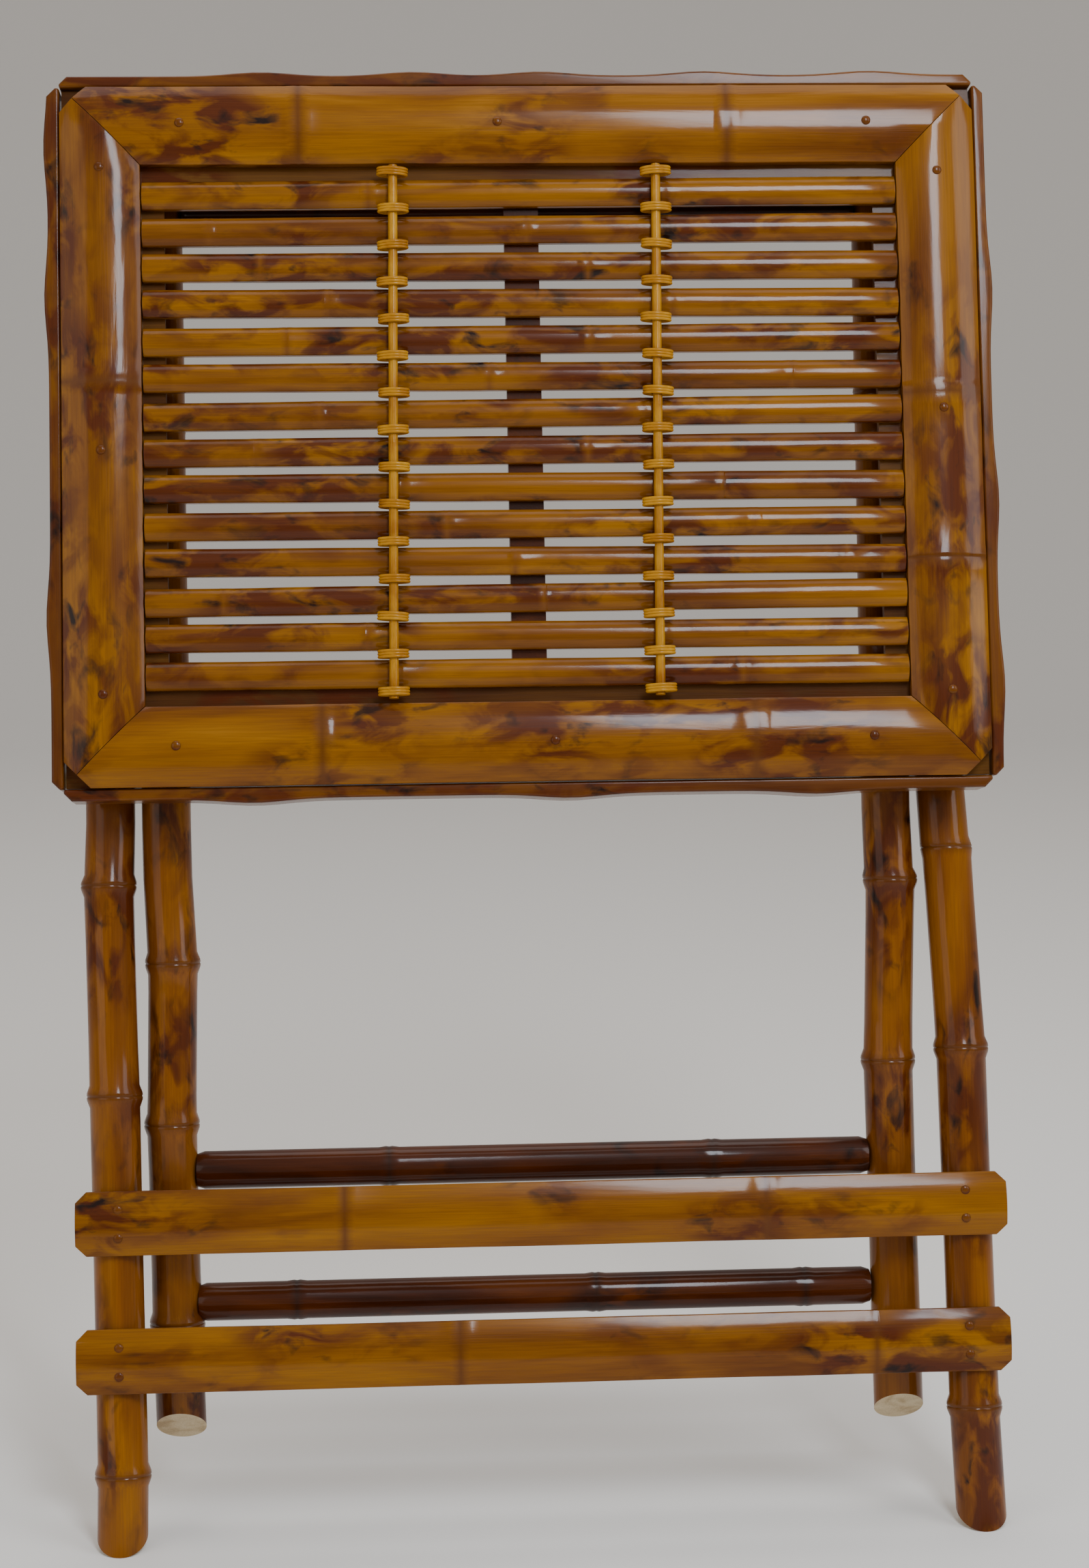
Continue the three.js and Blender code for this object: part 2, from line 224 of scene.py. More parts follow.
def bamboo(name, look, fromObject=False):
    material = bpy.data.materials.new(name)
    material.use_nodes = True
    tree = material.node_tree
    shader = tree.nodes["Principled BSDF"]
    if fromObject:
        vector = tree.nodes.new("ShaderNodeTexCoord").outputs["Object"]
    else:
        attribute = tree.nodes.new("ShaderNodeAttribute")
        attribute.attribute_name = "grain"
        vector = attribute.outputs["Vector"]
    tone = stretchedNoise(tree, vector, look["toneStretch"], 4, 0.6)
    colour = ramp(tree, tone, [(0.30, look["pale"]), (0.52, look["warm"]), (0.70, look["deep"])])
    flame = stretchedNoise(tree, vector, look["flameStretch"], 8, 0.7)
    flameMask = ramp(tree, flame, [(look["flameFrom"], (0, 0, 0)), (look["flameTo"], (1, 1, 1))])
    patch = stretchedNoise(tree, vector, look["patchStretch"], 2, 0.3)
    patchMask = ramp(tree, patch, [(look["patchFrom"], (0, 0, 0)), (look["patchTo"], (1, 1, 1))])
    flameMask = mixed(tree, "MULTIPLY", 1.0, flameMask, patchMask)
    colour = mixed(tree, "MIX", flameMask, colour, (*look["flame"], 1))
    char = stretchedNoise(tree, vector, look["charStretch"], 9, 0.6)
    charMask = ramp(tree, char, [(look["charFrom"], (0, 0, 0)), (look["charTo"], (1, 1, 1))])
    charMask = mixed(tree, "MULTIPLY", 1.0, charMask, patchMask)
    colour = mixed(tree, "MIX", charMask, colour, (*look["char"], 1))
    fibre = stretchedNoise(tree, vector, look["fibreStretch"], 3)
    fibreTone = ramp(tree, fibre, [(0.32, (0.72, 0.66, 0.58)), (0.62, (1.06, 1.04, 1.0))])
    colour = mixed(tree, "MULTIPLY", varnish["fibreShare"], colour, fibreTone)
    if not fromObject:
        ringNode = tree.nodes.new("ShaderNodeAttribute")
        ringNode.attribute_name = "ring"
        ringMask = ramp(tree, ringNode.outputs["Fac"],
                        [(0.25, (0, 0, 0)), (0.62, (0.35, 0.35, 0.35)), (0.95, (0.85, 0.85, 0.85))])
        colour = mixed(tree, "MIX", ringMask, colour, (*look["node"], 1))
    wire(tree, colour, shader.inputs["Base Color"])
    smoother, rougher = look["rough"] - varnish["smoother"], look["rough"] + varnish["rougher"]
    rough = ramp(tree, fibre, [(0.2, (smoother,) * 3), (0.8, (rougher,) * 3)])
    wire(tree, rough, shader.inputs["Roughness"])
    shader.inputs["Specular IOR Level"].default_value = varnish["specular"]
    shader.inputs["Coat Weight"].default_value = look["coat"]
    shader.inputs["Coat Roughness"].default_value = look["coatRough"]
    shader.inputs["Coat IOR"].default_value = varnish["coatIor"]
    bump = tree.nodes.new("ShaderNodeBump")
    bump.inputs["Strength"].default_value = varnish["fibreBump"]
    bump.inputs["Distance"].default_value = varnish["fibreDepth"]
    wire(tree, fibre, bump.inputs["Height"])
    wire(tree, bump.outputs["Normal"], shader.inputs["Normal"])
    ripple = tree.nodes.new("ShaderNodeBump")
    ripple.inputs["Strength"].default_value = varnish["rippleBump"]
    ripple.inputs["Distance"].default_value = varnish["rippleDepth"]
    wire(tree, tone, ripple.inputs["Height"])
    wire(tree, ripple.outputs["Normal"], shader.inputs["Coat Normal"])
    return material


goldenLook = {
    "pale": (0.275, 0.106, 0.0004), "warm": (0.200, 0.068, 0.0003), "deep": (0.120, 0.033, 0.0002),
    "flame": (0.080, 0.0150, 0.0004), "char": (0.012, 0.0032, 0.0012), "node": (0.10, 0.028, 0.001),
    "toneStretch": (7, 45, 45), "flameStretch": (34, 74, 74), "charStretch": (46, 96, 96),
    "patchStretch": (8, 16, 16), "patchFrom": 0.46, "patchTo": 0.60,
    "fibreStretch": (30, 1100, 1100), "flameFrom": 0.42, "flameTo": 0.56, "charFrom": 0.56,
    "charTo": 0.70, "rough": 0.40, "coat": 0.6, "coatRough": 0.13,
}
poleLook = dict(goldenLook, pale=(0.27, 0.094, 0.0005), warm=(0.19, 0.056, 0.0004),
                deep=(0.11, 0.027, 0.0003), patchFrom=0.42, patchTo=0.58, toneStretch=(5, 30, 30))
slatLook = dict(goldenLook, patchFrom=0.38, patchTo=0.56, node=(0.16, 0.050, 0.001),
                patchStretch=(9, 30, 30))
edgeLook = dict(goldenLook, pale=(0.17, 0.056, 0.001), warm=(0.12, 0.034, 0.001),
                deep=(0.07, 0.016, 0.0008), coat=0.5, coatRough=0.16, patchFrom=0.40, patchTo=0.56)
# near-black tones; on the centre batten they are partly painted shade for the shadow behind the slats, and
# partly the batten's own dark burnished colour
darkLook = dict(goldenLook, pale=(0.110, 0.025, 0.001), warm=(0.062, 0.012, 0.0008),
                deep=(0.022, 0.0045, 0.001), flame=(0.04, 0.011, 0.005), char=(0.015, 0.005, 0.003),
                node=(0.03, 0.01, 0.005))
ledgeLook = dict(goldenLook, pale=(0.15, 0.060, 0.006), warm=(0.10, 0.036, 0.004), deep=(0.06, 0.018, 0.003),
                 charFrom=0.74, charTo=0.9, coat=0.25, rough=0.45)
rattanLook = dict(goldenLook, pale=(0.50, 0.24, 0.008), warm=(0.40, 0.17, 0.005), deep=(0.28, 0.10, 0.003),
                  flameFrom=0.66, flameTo=0.85, charFrom=0.8, charTo=0.95, coat=0.4, rough=0.4,
                  toneStretch=(40, 40, 40), fibreStretch=(200, 1600, 1600))
cutLook = dict(goldenLook, pale=(0.66, 0.56, 0.38), warm=(0.58, 0.47, 0.30), deep=(0.44, 0.33, 0.19),
               flameFrom=0.74, flameTo=0.9, charFrom=0.85, charTo=0.98, coat=0.1, rough=0.6,
               toneStretch=(90, 90, 90), fibreStretch=(1500, 1500, 1500))

poleBamboo = bamboo("flamed round pole", poleLook)
splitBamboo = bamboo("flamed split bamboo", goldenLook)
edgeBamboo = bamboo("darker edge bamboo", edgeLook)
pegBamboo = bamboo("bamboo peg", dict(edgeLook, charFrom=0.7, charTo=0.9))
slatBamboo = bamboo("slat bamboo", slatLook)
darkBamboo = bamboo("dark scorched bar", darkLook)
# dark block material: its near-black colour is partly painted shade for the batten in shadow behind the
# slats, with scorch marks of its own
darkBlockAndShade = bamboo("dark block, scorch and painted shade", dict(darkLook, fibreStretch=(900, 60, 900)), True)
ledgePlain = bamboo("pale backing strip", ledgeLook, True)
caneGold = bamboo("golden cane", rattanLook)
cutBamboo = bamboo("fresh cut end", cutLook)


def dullBrass(name, look):
    material = bpy.data.materials.new(name)
    material.use_nodes = True
    tree = material.node_tree
    shader = tree.nodes["Principled BSDF"]
    vector = tree.nodes.new("ShaderNodeTexCoord").outputs["Object"]
    stain = stretchedNoise(tree, vector, (look["stain"],) * 3, 4)
    wire(tree, ramp(tree, stain, [(0.35, look["bright"]), (0.65, look["dull"])]), shader.inputs["Base Color"])
    wire(tree, ramp(tree, stain, [(0.3, (0.28,) * 3), (0.7, (0.5,) * 3)]), shader.inputs["Roughness"])
    shader.inputs["Metallic"].default_value = 1
    return material


brass = dullBrass("dull brass", {"stain": 420, "bright": (0.55, 0.38, 0.15), "dull": (0.24, 0.14, 0.05)})
print("materials made")


poles = {
    "radius": 0.0145, "rise": 0.0008, "ringHalf": 0.0065,
    "waist": 0.985, "waistHalf": 0.03, "waistReach": 0.0315,
    "outerX": 0.2442, "innerX": 0.212, "outerFoot": -0.433, "outerTop": 0.352,
    "innerFoot": -0.3767, "outerCut": 35.75, "innerCut": 34.0,
    "lowRise": 0.0017, "lowFrom": -0.05, "spare": 0.02, "domeShare": 0.98, "domeBevel": 0.8,
    "lip": 0.0008, "shoulder": 0.0022, "shoulderDrop": 0.012, "grooveDrop": 0.028,
    "outerKinks": {
        -1: ((-0.04, 0), (-0.061, -0.0015), (-0.183, 0.001), (-0.399, 0.004), (-0.46, 0.003)),
        1: ((-0.03, 0), (-0.047, 0.003), (-0.165, 0.008), (-0.373, 0.0095), (-0.46, 0.0125)),
    },
    "innerKinks": {
        -1: ((-0.05, 0), (-0.107, 0.0025), (-0.201, 0.0005), (-0.317, 0.002), (-0.40, 0.004)),
        1: ((-0.05, 0), (-0.065, 0.002), (-0.172, -0.0012), (-0.333, 0.001), (-0.40, 0.002)),
    },
    "outerNodes": {-1: (0.034, 0.250, 0.372, 0.505, 0.640), 1: (0.060, 0.268, 0.386, 0.530, 0.668)},
    "innerNodes": {-1: (0.060, 0.176, 0.270, 0.430, 0.585), 1: (0.044, 0.205, 0.312, 0.455, 0.600)},
}


def kinkAt(kinks, height):
    # sideways lean of the pole at a height below the bolt, straight between its nodes
    for (high, first), (low, second) in zip(kinks, kinks[1:]):
        if low <= height < high:
            return second + (first - second) * (height - low) / (high - low)
    return 0.0 if height >= kinks[0][0] else kinks[-1][1]


def pole(name, foot, top, cutNormal, nodes, kinks):
    radius = poles["radius"]
    low, high = foot - poles["spare"], top + radius * poles["domeShare"]
    bpy.ops.mesh.primitive_cylinder_add(vertices=48, radius=radius, depth=high - low,
                                        location=(0, 0, (low + high) / 2))
    piece = bpy.context.object
    piece.name = name
    only(piece)
    bpy.ops.object.transform_apply(location=True, rotation=True, scale=True)
    editing(piece)
    half, lip, shoulder = poles["ringHalf"], poles["lip"], poles["shoulder"]
    for height in nodes:
        for step in (-half, -shoulder, -lip, 0, lip, shoulder, half):
            loopAt((0, 0, height + step), (0, 0, 1))
    middles = [(a + b) / 2 for a, b in zip(nodes, nodes[1:])]
    for height in middles:
        for step in (-poles["waistHalf"], 0, poles["waistHalf"]):
            loopAt((0, 0, height + step), (0, 0, 1))
    for height in nodes:
        rise = poles["lowRise"] if height < poles["lowFrom"] else poles["rise"]
        swell = 1 + rise / radius
        eased, groove = swell - poles["shoulderDrop"], swell - poles["grooveDrop"]
        for step, size in ((-shoulder, eased), (-lip, swell), (0, groove),
                           (lip, swell), (shoulder, eased)):
            pick(piece, lambda co, z=height + step: abs(co.z - z) < onLoop)
            bpy.ops.transform.resize(value=(size, size, 1))
    for height in middles:
        pick(piece, lambda co, z=height: abs(co.z - z) < poles["waistReach"])
        bpy.ops.transform.resize(value=(poles["waist"], poles["waist"], 1))
    pick(piece, lambda co: co.z > high - 0.0005)
    bpy.ops.mesh.bevel(offset=radius * poles["domeBevel"], segments=8, affect="EDGES")
    doneEditing()
    heights = sorted({round(vertex.co.z, 4) for vertex in piece.data.vertices})
    editing(piece)
    for height in heights:
        sideways = kinkAt(kinks, height)
        if sideways:
            pick(piece, lambda co: abs(co.z - height) < onLoop)
            bpy.ops.transform.translate(value=(sideways, 0, 0))
    trim((0, 0, foot), cutNormal)
    doneEditing()
    bpy.ops.object.shade_smooth_by_angle(angle=math.radians(35))
    rememberGrain(piece, 2, nodes, half, random.uniform(0, 9))
    piece.data.materials.append(poleBamboo)
    piece.data.materials.append(cutBamboo)
    normal = Vector(cutNormal).normalized()
    for face in piece.data.polygons:
        if face.normal.dot(normal) > 0.99:
            face.material_index = 1
    return piece


def makeLegs():
    for side, word in ((-1, "left"), (1, "right")):
        cut = math.radians(poles["outerCut"])
        nodes = [poles["outerFoot"] + height for height in poles["outerNodes"][side]]
        leg = pole("outer_pole_" + word, poles["outerFoot"], poles["outerTop"],
                   (0, math.sin(cut), -math.cos(cut)), nodes, poles["outerKinks"][side])
        settle(leg, outerPlace @ Matrix.Translation((side * poles["outerX"], 0, 0)),
               "outer_frame", "pole_bamboo", "outer_leg_" + word)
        cut = math.radians(poles["innerCut"])
        nodes = [poles["innerFoot"] + height for height in poles["innerNodes"][side]]
        leg = pole("inner_pole_" + word, poles["innerFoot"], boltToBar,
                   (0, -math.sin(cut), -math.cos(cut)), nodes, poles["innerKinks"][side])
        settle(leg, innerPlace @ Matrix.Translation((side * poles["innerX"], 0, 0)),
               "inner_frame", "pole_bamboo", "inner_leg_" + word)


bars = {
    "radius": 0.011, "half": 0.1972, "rise": 0.0006, "shoulder": 0.0045, "ringHalf": 0.006,
    "lip": 0.0018, "lipReach": 0.002, "grooveReach": 0.0004, "grooveShare": 0.972, "endShare": 0.86,
    "top_crossbar": ("crossbar", 0.331, (-0.118, 0.070)),
    "upper_rung": ("inner_frame", -0.228, (-0.085, 0.105)),
    "lower_rung": ("inner_frame", -0.305, (-0.140, 0.035, 0.158)),
}


def makeBars():
    for name in ("top_crossbar", "upper_rung", "lower_rung"):
        body, height, nodes = bars[name]
        bpy.ops.mesh.primitive_cylinder_add(vertices=40, radius=bars["radius"], depth=2 * bars["half"],
                                            rotation=(0, math.pi / 2, 0))
        piece = bpy.context.object
        piece.name = name + "_round"
        only(piece)
        bpy.ops.object.transform_apply(location=True, rotation=True, scale=True)
        editing(piece)
        for node in nodes:
            for step in (-bars["ringHalf"], -bars["lip"], 0, bars["lip"], bars["ringHalf"]):
                loopAt((node + step, 0, 0), (1, 0, 0))
            pick(piece, lambda co, x=node: abs(co.x - x) < bars["lipReach"])
            grow = 1 + bars["rise"] / bars["radius"]
            bpy.ops.transform.resize(value=(1, grow, grow))
            pick(piece, lambda co, x=node: abs(co.x - x) < bars["grooveReach"])
            bpy.ops.transform.resize(value=(1, bars["grooveShare"], bars["grooveShare"]))
        for end in (-1, 1):
            loopAt((end * (bars["half"] - bars["shoulder"]), 0, 0), (1, 0, 0))
            pick(piece, lambda co, e=end: co.x * e > bars["half"] - 0.0005)
            bpy.ops.transform.resize(value=(1, bars["endShare"], bars["endShare"]))
        doneEditing()
        bpy.ops.object.shade_smooth_by_angle(angle=math.radians(35))
        rememberGrain(piece, 0, nodes, bars["ringHalf"], random.uniform(0, 9))
        piece.data.materials.append(darkBamboo)
        settle(piece, innerPlace @ Matrix.Translation((0, 0, height)), body, "dark_bamboo", name)


def splitStrip(name, look, nodes):
    # lies along X, flat back at y = 0, crown towards -Y
    rise = look["crown"] - look["edge"]
    radius = (look["width"] ** 2 / 4 + rise ** 2) / (2 * rise)
    bpy.ops.mesh.primitive_cylinder_add(vertices=look["sides"], radius=radius, depth=look["length"],
                                        location=(0, radius - look["crown"], 0),
                                        rotation=(0, math.pi / 2, 0))
    piece = bpy.context.object
    piece.name = name
    only(piece)
    bpy.ops.object.transform_apply(location=True, rotation=True, scale=True)
    editing(piece)
    trim((0, 0, 0), (0, 1, 0))
    trim((0, 0, look["width"] / 2), (0, 0, 1))
    trim((0, 0, -look["width"] / 2), (0, 0, -1))
    half = look["ringHalf"]
    steps = max(2, int(look["length"] / look["step"]))
    for index in range(1, steps):
        loopAt(((index / steps - 0.5) * look["length"], 0, 0), (1, 0, 0))
    for node in nodes:
        for step in (-half, -half * 0.3, 0, half * 0.3, half):
            loopAt((node + step, 0, 0), (1, 0, 0))
        pick(piece, lambda co, x=node: abs(co.x - x) < half * 0.35 and co.y < -look["edge"] * 0.8)
        bpy.ops.transform.translate(value=(0, -look["rise"], 0))
        pick(piece, lambda co, x=node: abs(co.x - x) < half * 0.1 and co.y < -look["edge"] * 0.8)
        bpy.ops.transform.translate(value=(0, look["rise"] * 0.6, 0))
    doneEditing()
    roughen(piece, look["wander"], look["wanderSize"])
    return piece


def finishStrip(piece, nodes, look, material):
    soften(piece, look["round"], 3)
    bpy.ops.object.shade_smooth_by_angle(angle=math.radians(40))
    rememberGrain(piece, 0, nodes, look["ringHalf"], random.uniform(0, 9))
    piece.data.materials.append(material)


slats = {
    "count": 14, "pitch": 0.0215, "length": 0.4370, "width": 0.0163, "edge": 0.0042, "crown": 0.0078,
    "sides": 72, "ringHalf": 0.005, "rise": 0.0005, "step": 0.02, "wander": 0.0007,
    "wanderSize": 0.05, "round": 0.0009, "firstNode": (-0.20, 0.02), "nodeStep": (0.17, 0.2), "tilt": 0.26,
}


def makeSlats():
    middle = (slats["count"] - 1) / 2
    for index in range(slats["count"]):
        first = random.uniform(*slats["firstNode"])
        nodes = [first, first + random.uniform(*slats["nodeStep"])]
        piece = splitStrip(f"slat_{index + 1:02d}_split", slats, nodes)
        finishStrip(piece, nodes, slats, slatBamboo)
        tilt = Matrix.Rotation(math.radians(random.uniform(-slats["tilt"], slats["tilt"])), 4, "Y")
        place = trayPlace @ Matrix.Translation((0, 0, (middle - index) * slats["pitch"])) @ tilt
        settle(piece, place, "tray", "split_bamboo", f"slat_{index + 1:02d}")


mouldings = {
    "width": 0.0458, "edge": 0.0068, "crown": 0.0128, "sides": 150, "ringHalf": 0.008, "rise": 0.0009,
    "step": 0.025, "wander": 0.0012, "wanderSize": 0.09, "round": 0.0014, "clip": 0.015, "mitreGap": 0.0002,
    "halfWidth": 0.265, "halfHeight": 0.2025,
    "sidesRound": (
        ("top", 0, (-0.128, 0.120)), ("right", 90, (-0.020, 0.077)),
        ("bottom", 180, (-0.128, 0.119)), ("left", -90, (0.030,)),
    ),
}


def makeMouldings():
    look = mouldings
    for word, turn, nodes in look["sidesRound"]:
        halfLength, halfAcross = traySide(turn)
        piece = splitStrip("face_moulding_" + word, dict(look, length=2 * halfLength), nodes)
        editing(piece)
        bpy.ops.mesh.select_all(action="SELECT")
        bpy.ops.transform.translate(value=(0, 0, halfAcross - look["width"] / 2))
        inner = halfAcross - look["width"]
        for end in (-1, 1):
            trim((end * (halfLength - look["width"] - look["mitreGap"]), 0, inner), (end, 0, -1))
            trim((end * (halfLength - look["clip"]), 0, halfAcross), (end, 0, 1))
        doneEditing()
        finishStrip(piece, nodes, look, splitBamboo)
        place = trayPlace @ Matrix.Rotation(math.radians(turn), 4, "Y")
        settle(piece, place, "tray", "split_bamboo", "moulding_" + word)


stretchers = {
    "length": 0.537, "width": 0.0365, "edge": 0.0028, "crown": 0.0068, "sides": 150, "ringHalf": 0.007,
    "rise": 0.0006, "step": 0.025, "wander": 0.001, "wanderSize": 0.08, "round": 0.0012, "cornerCut": 0.006,
    "back": -0.0148, "shift": 0.004,
    "rows": (("upper_stretcher", -0.255, (-0.115, 0.128)), ("lower_stretcher", -0.333, (-0.05, 0.19))),
}


def makeStretchers():
    look = stretchers
    for name, height, nodes in look["rows"]:
        piece = splitStrip(name + "_split", look, nodes)
        editing(piece)
        for end in (-1, 1):
            for edge in (-1, 1):
                trim((end * look["length"] / 2, 0, edge * (look["width"] / 2 - look["cornerCut"])),
                     (end, 0, edge))
        doneEditing()
        finishStrip(piece, nodes, look, splitBamboo)
        settle(piece, outerPlace @ Matrix.Translation((look["shift"], look["back"], height)),
               "outer_frame", "split_bamboo", name)


fascias = {
    "front": -0.0048, "back": 0.0218, "thickness": 0.0092, "base": 0.74, "spread": 0.024, "inset": 0.0004,
    "step": 0.009, "round": 0.0042, "clip": 0.004,
    "sidesRound": (
        ("top", 0, (-0.150, -0.062, 0.012, 0.108, 0.205)), ("right", 90, (-0.082, 0.042, 0.150)),
        ("bottom", 180, (-0.165, -0.022, 0.158)), ("left", -90, (-0.106, 0.080, 0.168)),
    ),
}


def makeFascias():
    look = fascias
    for word, turn, bulges in look["sidesRound"]:
        halfLength, halfAcross = traySide(turn)
        base = look["thickness"] * look["base"]
        full = 2 * (halfLength + base)
        middleY = (look["front"] + look["back"]) / 2
        bpy.ops.mesh.primitive_cube_add(size=1, location=(0, middleY, base / 2))
        piece = bpy.context.object
        piece.name = "edge_strip_" + word
        piece.scale = (full, look["back"] - look["front"], base)
        only(piece)
        bpy.ops.object.transform_apply(location=True, rotation=True, scale=True)
        editing(piece)
        steps = int(full / look["step"])
        for index in range(1, steps):
            loopAt(((index / steps - 0.5) * full, 0, 0), (1, 0, 0))
        for index in range(1, steps):
            x = (index / steps - 0.5) * full
            swell = sum(math.exp(-((x - bulge) / look["spread"]) ** 2) for bulge in bulges)
            lift = look["thickness"] * (1 - look["base"]) * min(1, swell)
            pick(piece, lambda co: abs(co.x - x) < 0.001 and co.z > base * 0.6)
            bpy.ops.transform.translate(value=(0, 0, lift))
        for end in (-1, 1):
            trim((end * (halfLength - look["inset"]), 0, 0), (end, 0, -1))
            trim((end * (halfLength - look["clip"]), 0, base), (end, 0, 1.2))
        doneEditing()
        soften(piece, look["round"], 6, 50)
        bpy.ops.object.shade_smooth_by_angle(angle=math.radians(50))
        rememberGrain(piece, 0, bulges, 0.010, random.uniform(0, 9))
        piece.data.materials.append(edgeBamboo)
        place = trayPlace @ Matrix.Rotation(math.radians(turn), 4, "Y")
        settle(piece, place @ Matrix.Translation((0, 0, halfAcross + look["inset"])),
               "tray", "split_bamboo", "edge_fascia_" + word)


ties = {
    "x": 0.076, "slant": 0.75, "radius": 0.0027, "depth": -0.0111, "half": 0.1545,
    "ringAcross": 0.0083, "ringFlat": 0.5, "strand": 0.00085, "strands": 3, "strandPitch": 0.00162,
    "coreSteps": 60, "coreWander": 0.0005, "coreWanderSize": 0.02, "tip": 3, "sway": 0.0006,
}


def tieCore(word, place):
    bpy.ops.mesh.primitive_cylinder_add(vertices=20, radius=ties["radius"], depth=2 * ties["half"])
    core = bpy.context.object
    core.name = "rattan_tie_" + word
    editing(core)
    for index in range(1, ties["coreSteps"]):
        loopAt((0, 0, (index / ties["coreSteps"] - 0.5) * 2 * ties["half"]), (0, 0, 1))
    doneEditing()
    roughen(core, ties["coreWander"], ties["coreWanderSize"])
    bpy.ops.object.shade_smooth_by_angle(angle=math.radians(50))
    rememberGrain(core, 2, (), 1, random.uniform(0, 9))
    core.data.materials.append(caneGold)
    settle(core, place, "tray", "rattan", "rattan_core_" + word)


def firstWrap(word):
    # a few flattened rings of cane lying side by side
    strands = []
    for index in range(ties["strands"]):
        height = (index - (ties["strands"] - 1) / 2) * ties["strandPitch"]
        bpy.ops.mesh.primitive_torus_add(major_radius=ties["ringAcross"], minor_radius=ties["strand"],
                                         major_segments=32, minor_segments=10,
                                         location=(0, 0, height))
        strand = bpy.context.object
        editing(strand)
        bpy.ops.mesh.select_all(action="SELECT")
        bpy.ops.transform.resize(value=(1, ties["ringFlat"], 1))
        doneEditing()
        strands.append(strand)
    wrap = join(strands, "cane_wrap_first_" + word)
    only(wrap)
    bpy.ops.object.transform_apply(location=True, rotation=True, scale=True)
    bpy.ops.object.shade_smooth()
    return wrap


def caneWraps(word, place):
    wrap = firstWrap(word)
    rings = []
    for index in range(slats["count"] + 1):
        ring = copyOf(wrap)
        height = (slats["count"] / 2 - index) * slats["pitch"]
        tip = Matrix.Rotation(math.radians(random.uniform(-ties["tip"], ties["tip"])), 4, "Y")
        sideways = random.uniform(-ties["sway"], ties["sway"])
        ring.matrix_world = Matrix.Translation((sideways, 0, height)) @ tip
        rings.append(ring)
    bpy.data.objects.remove(wrap)
    wraps = join(rings, "cane_wraps_" + word)
    only(wraps)
    bpy.ops.object.transform_apply(location=True, rotation=True, scale=True)
    rememberGrain(wraps, 0, (), 1, random.uniform(0, 9))
    wraps.data.materials.append(caneGold)
    settle(wraps, place, "tray", "rattan")


def makeTies():
    for side, word in ((-1, "left"), (1, "right")):
        slant = Matrix.Rotation(math.radians(ties["slant"]), 4, "Y")
        place = trayPlace @ Matrix.Translation((side * ties["x"], ties["depth"], 0)) @ slant
        tieCore(word, place)
        caneWraps(word, place)


heads = {
    "radius": 0.0027, "flat": 0.45, "sink": 0.0004, "nailSink": 0.0008,
    "mouldingShares": (-0.74, -0.05, 0.76), "stretcherX": 0.2442, "stretcherUp": 0.008,
}


def headAt(place):
    bpy.ops.mesh.primitive_uv_sphere_add(segments=20, ring_count=12, radius=heads["radius"])
    head = bpy.context.object
    editing(head)
    bpy.ops.mesh.select_all(action="SELECT")
    bpy.ops.transform.resize(value=(1, heads["flat"], 1))
    trim((0, heads["sink"], 0), (0, 1, 0))
    doneEditing()
    head.matrix_world = place
    return head


def gatherHeads(name, parts, body):
    piece = join(parts, name)
    only(piece)
    bpy.ops.object.transform_apply(location=True, rotation=True, scale=True)
    bpy.ops.object.shade_smooth_by_angle(angle=math.radians(50))
    rememberGrain(piece, 0, (), 1, 2.2)
    piece.data.materials.append(pegBamboo)
    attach(piece, body)


def makeHeads():
    pegs = []
    look = mouldings
    for word, turn, nodes in look["sidesRound"]:
        halfLength, halfAcross = traySide(turn)
        for share in heads["mouldingShares"]:
            place = Matrix.Translation((share * halfLength, -look["crown"], halfAcross - look["width"] / 2))
            pegs.append(headAt(trayPlace @ Matrix.Rotation(math.radians(turn), 4, "Y") @ place))
    gatherHeads("tray_pegs", pegs, "tray")
    nails = []
    face = stretchers["back"] - stretchers["crown"] + heads["nailSink"]
    for name, height, nodes in stretchers["rows"]:
        for end in (-1, 1):
            for rise in (-1, 1):
                spot = (end * heads["stretcherX"] + stretchers["shift"], face,
                        height + rise * heads["stretcherUp"])
                nails.append(headAt(outerPlace @ Matrix.Translation(spot)))
    gatherHeads("stretcher_nails", nails, "outer_frame")


makeLegs()
print("legs made")
makeBars()
print("bars made")
makeSlats()
print("slats made")
makeMouldings()
makeStretchers()
makeFascias()
print("tray frame and stretchers made")
makeTies()
makeHeads()
print("ties and heads made")


def dressNode(name, material):
    mesh = frame["nodes"][name].data
    mesh.materials.clear()
    mesh.materials.append(material)


for name in ("ledge_top", "ledge_bottom", "ledge_left", "ledge_right"):
    dressNode(name, ledgePlain)
# the centre batten gets the near-black block colour, partly painted shade for the shadow behind the slats
dressNode("centre_batten", darkBlockAndShade)
for word in ("left", "right"):
    dressNode("hinge_cheek_" + word, darkBlockAndShade)
    dressNode("stop_cleat_" + word, darkBlockAndShade)
    dressNode("hinge_pin_" + word, brass)
    dressNode("scissor_bolt_" + word, brass)


studio = {
    "floorRadius": 3.4, "floorBend": 2.4, "floorSteps": 16, "floor": (0.80, 0.775, 0.745),
    "floorRough": 0.9, "world": (0.74, 0.71, 0.68), "worldStrength": 0.62, "aim": (0, 0, 0.45),
    "lamps": (
        ("window", (0.44, -1.55, 1.85), 0.42, 0.8, 26, (0.82, 0.91, 1.0)),
        ("side", (1.9, -1.2, 1.6), 0.9, 1.4, 16, (0.92, 0.96, 1.0)),
        ("fill", (-1.9, -1.5, 1.2), 1.6, 1.6, 9, (1.0, 0.96, 0.90)),
        ("top", (0.0, 0.5, 2.7), 2.2, 2.2, 30, (1.0, 0.98, 0.95)),
    ),
    "eye": (-0.081, -1.648, 0.674), "down": 8.60, "turn": 3.14, "roll": -0.45, "focal": 65.3,
    "sensor": 36,
}


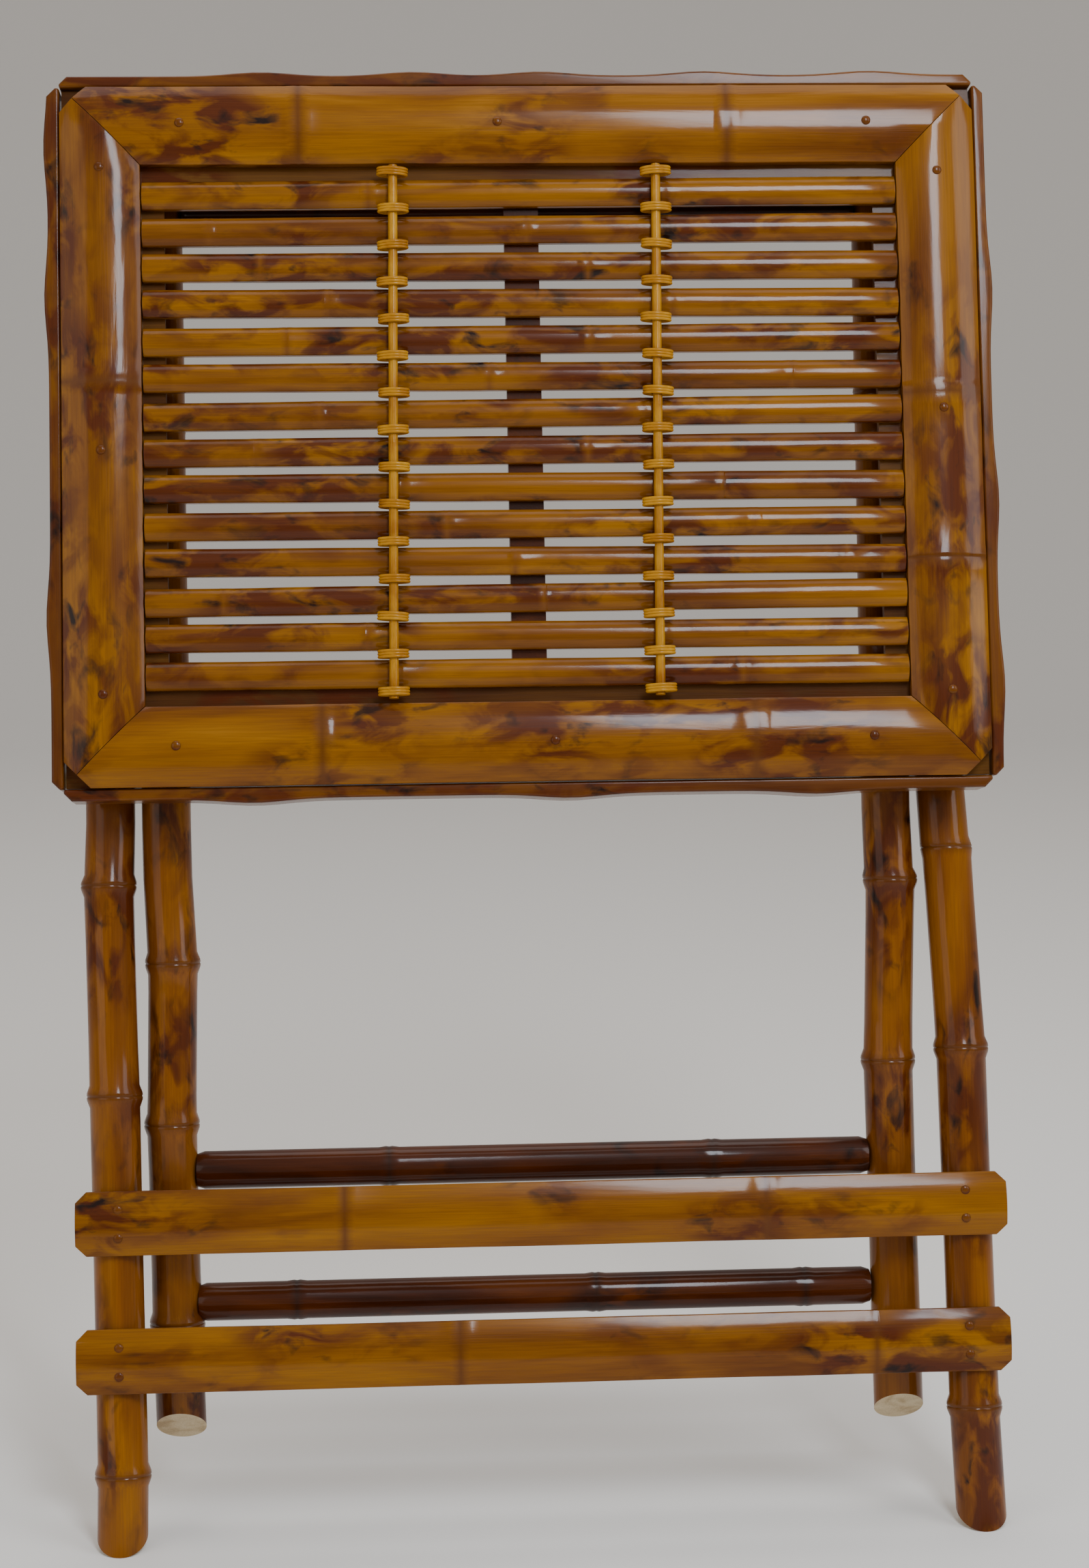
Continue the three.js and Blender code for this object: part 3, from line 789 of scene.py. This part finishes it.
def makeStudio():
    # the floor is a wide disc whose rim curves up into the backdrop
    bpy.ops.mesh.primitive_circle_add(vertices=96, radius=studio["floorRadius"], fill_type="NGON")
    floor = bpy.context.object
    floor.name = "floor"
    editing(floor)
    bpy.ops.mesh.select_all(action="SELECT")
    bend, steps = studio["floorBend"], studio["floorSteps"]
    rim = studio["floorRadius"]
    for step in range(1, steps + 1):
        before, after = ((step - 1) / steps * math.pi / 2), (step / steps * math.pi / 2)
        grown = studio["floorRadius"] + bend * math.sin(after)
        bpy.ops.mesh.extrude_region_move(
            TRANSFORM_OT_translate={"value": (0, 0, bend * (math.cos(before) - math.cos(after)))})
        bpy.ops.transform.resize(value=(grown / rim, grown / rim, 1))
        rim = grown
    bpy.ops.mesh.delete(type="ONLY_FACE")
    doneEditing()
    bpy.ops.object.shade_smooth()
    paper = bpy.data.materials.new("pale floor")
    paper.use_nodes = True
    shader = paper.node_tree.nodes["Principled BSDF"]
    shader.inputs["Base Color"].default_value = (*studio["floor"], 1)
    shader.inputs["Roughness"].default_value = studio["floorRough"]
    floor.data.materials.append(paper)
    world = bpy.data.worlds.new("studio")
    bpy.context.scene.world = world
    world.use_nodes = True
    background = world.node_tree.nodes["Background"]
    background.inputs["Color"].default_value = (*studio["world"], 1)
    background.inputs["Strength"].default_value = studio["worldStrength"]
    for name, spot, width, height, power, colour in studio["lamps"]:
        bpy.ops.object.light_add(type="AREA", location=spot)
        lamp = bpy.context.object
        lamp.name = name
        lamp.data.shape = "RECTANGLE"
        lamp.data.size = width
        lamp.data.size_y = height
        lamp.data.energy = power
        lamp.data.color = colour
        towards = Vector(studio["aim"]) - Vector(spot)
        lamp.rotation_euler = towards.to_track_quat("-Z", "Y").to_euler()


def makeCamera():
    bpy.ops.object.camera_add(location=studio["eye"])
    camera = bpy.context.object
    tilt = math.pi / 2 - math.radians(studio["down"])
    place = Matrix.Translation(studio["eye"]) @ Matrix.Rotation(-math.radians(studio["turn"]), 4, "Z")
    place = place @ Matrix.Rotation(tilt, 4, "X") @ Matrix.Rotation(math.radians(studio["roll"]), 4, "Z")
    camera.matrix_world = place
    camera.data.sensor_fit = "VERTICAL"
    camera.data.sensor_height = studio["sensor"]
    camera.data.sensor_width = studio["sensor"]
    camera.data.lens = studio["focal"]
    bpy.context.scene.camera = camera


makeStudio()
makeCamera()
print("studio made")
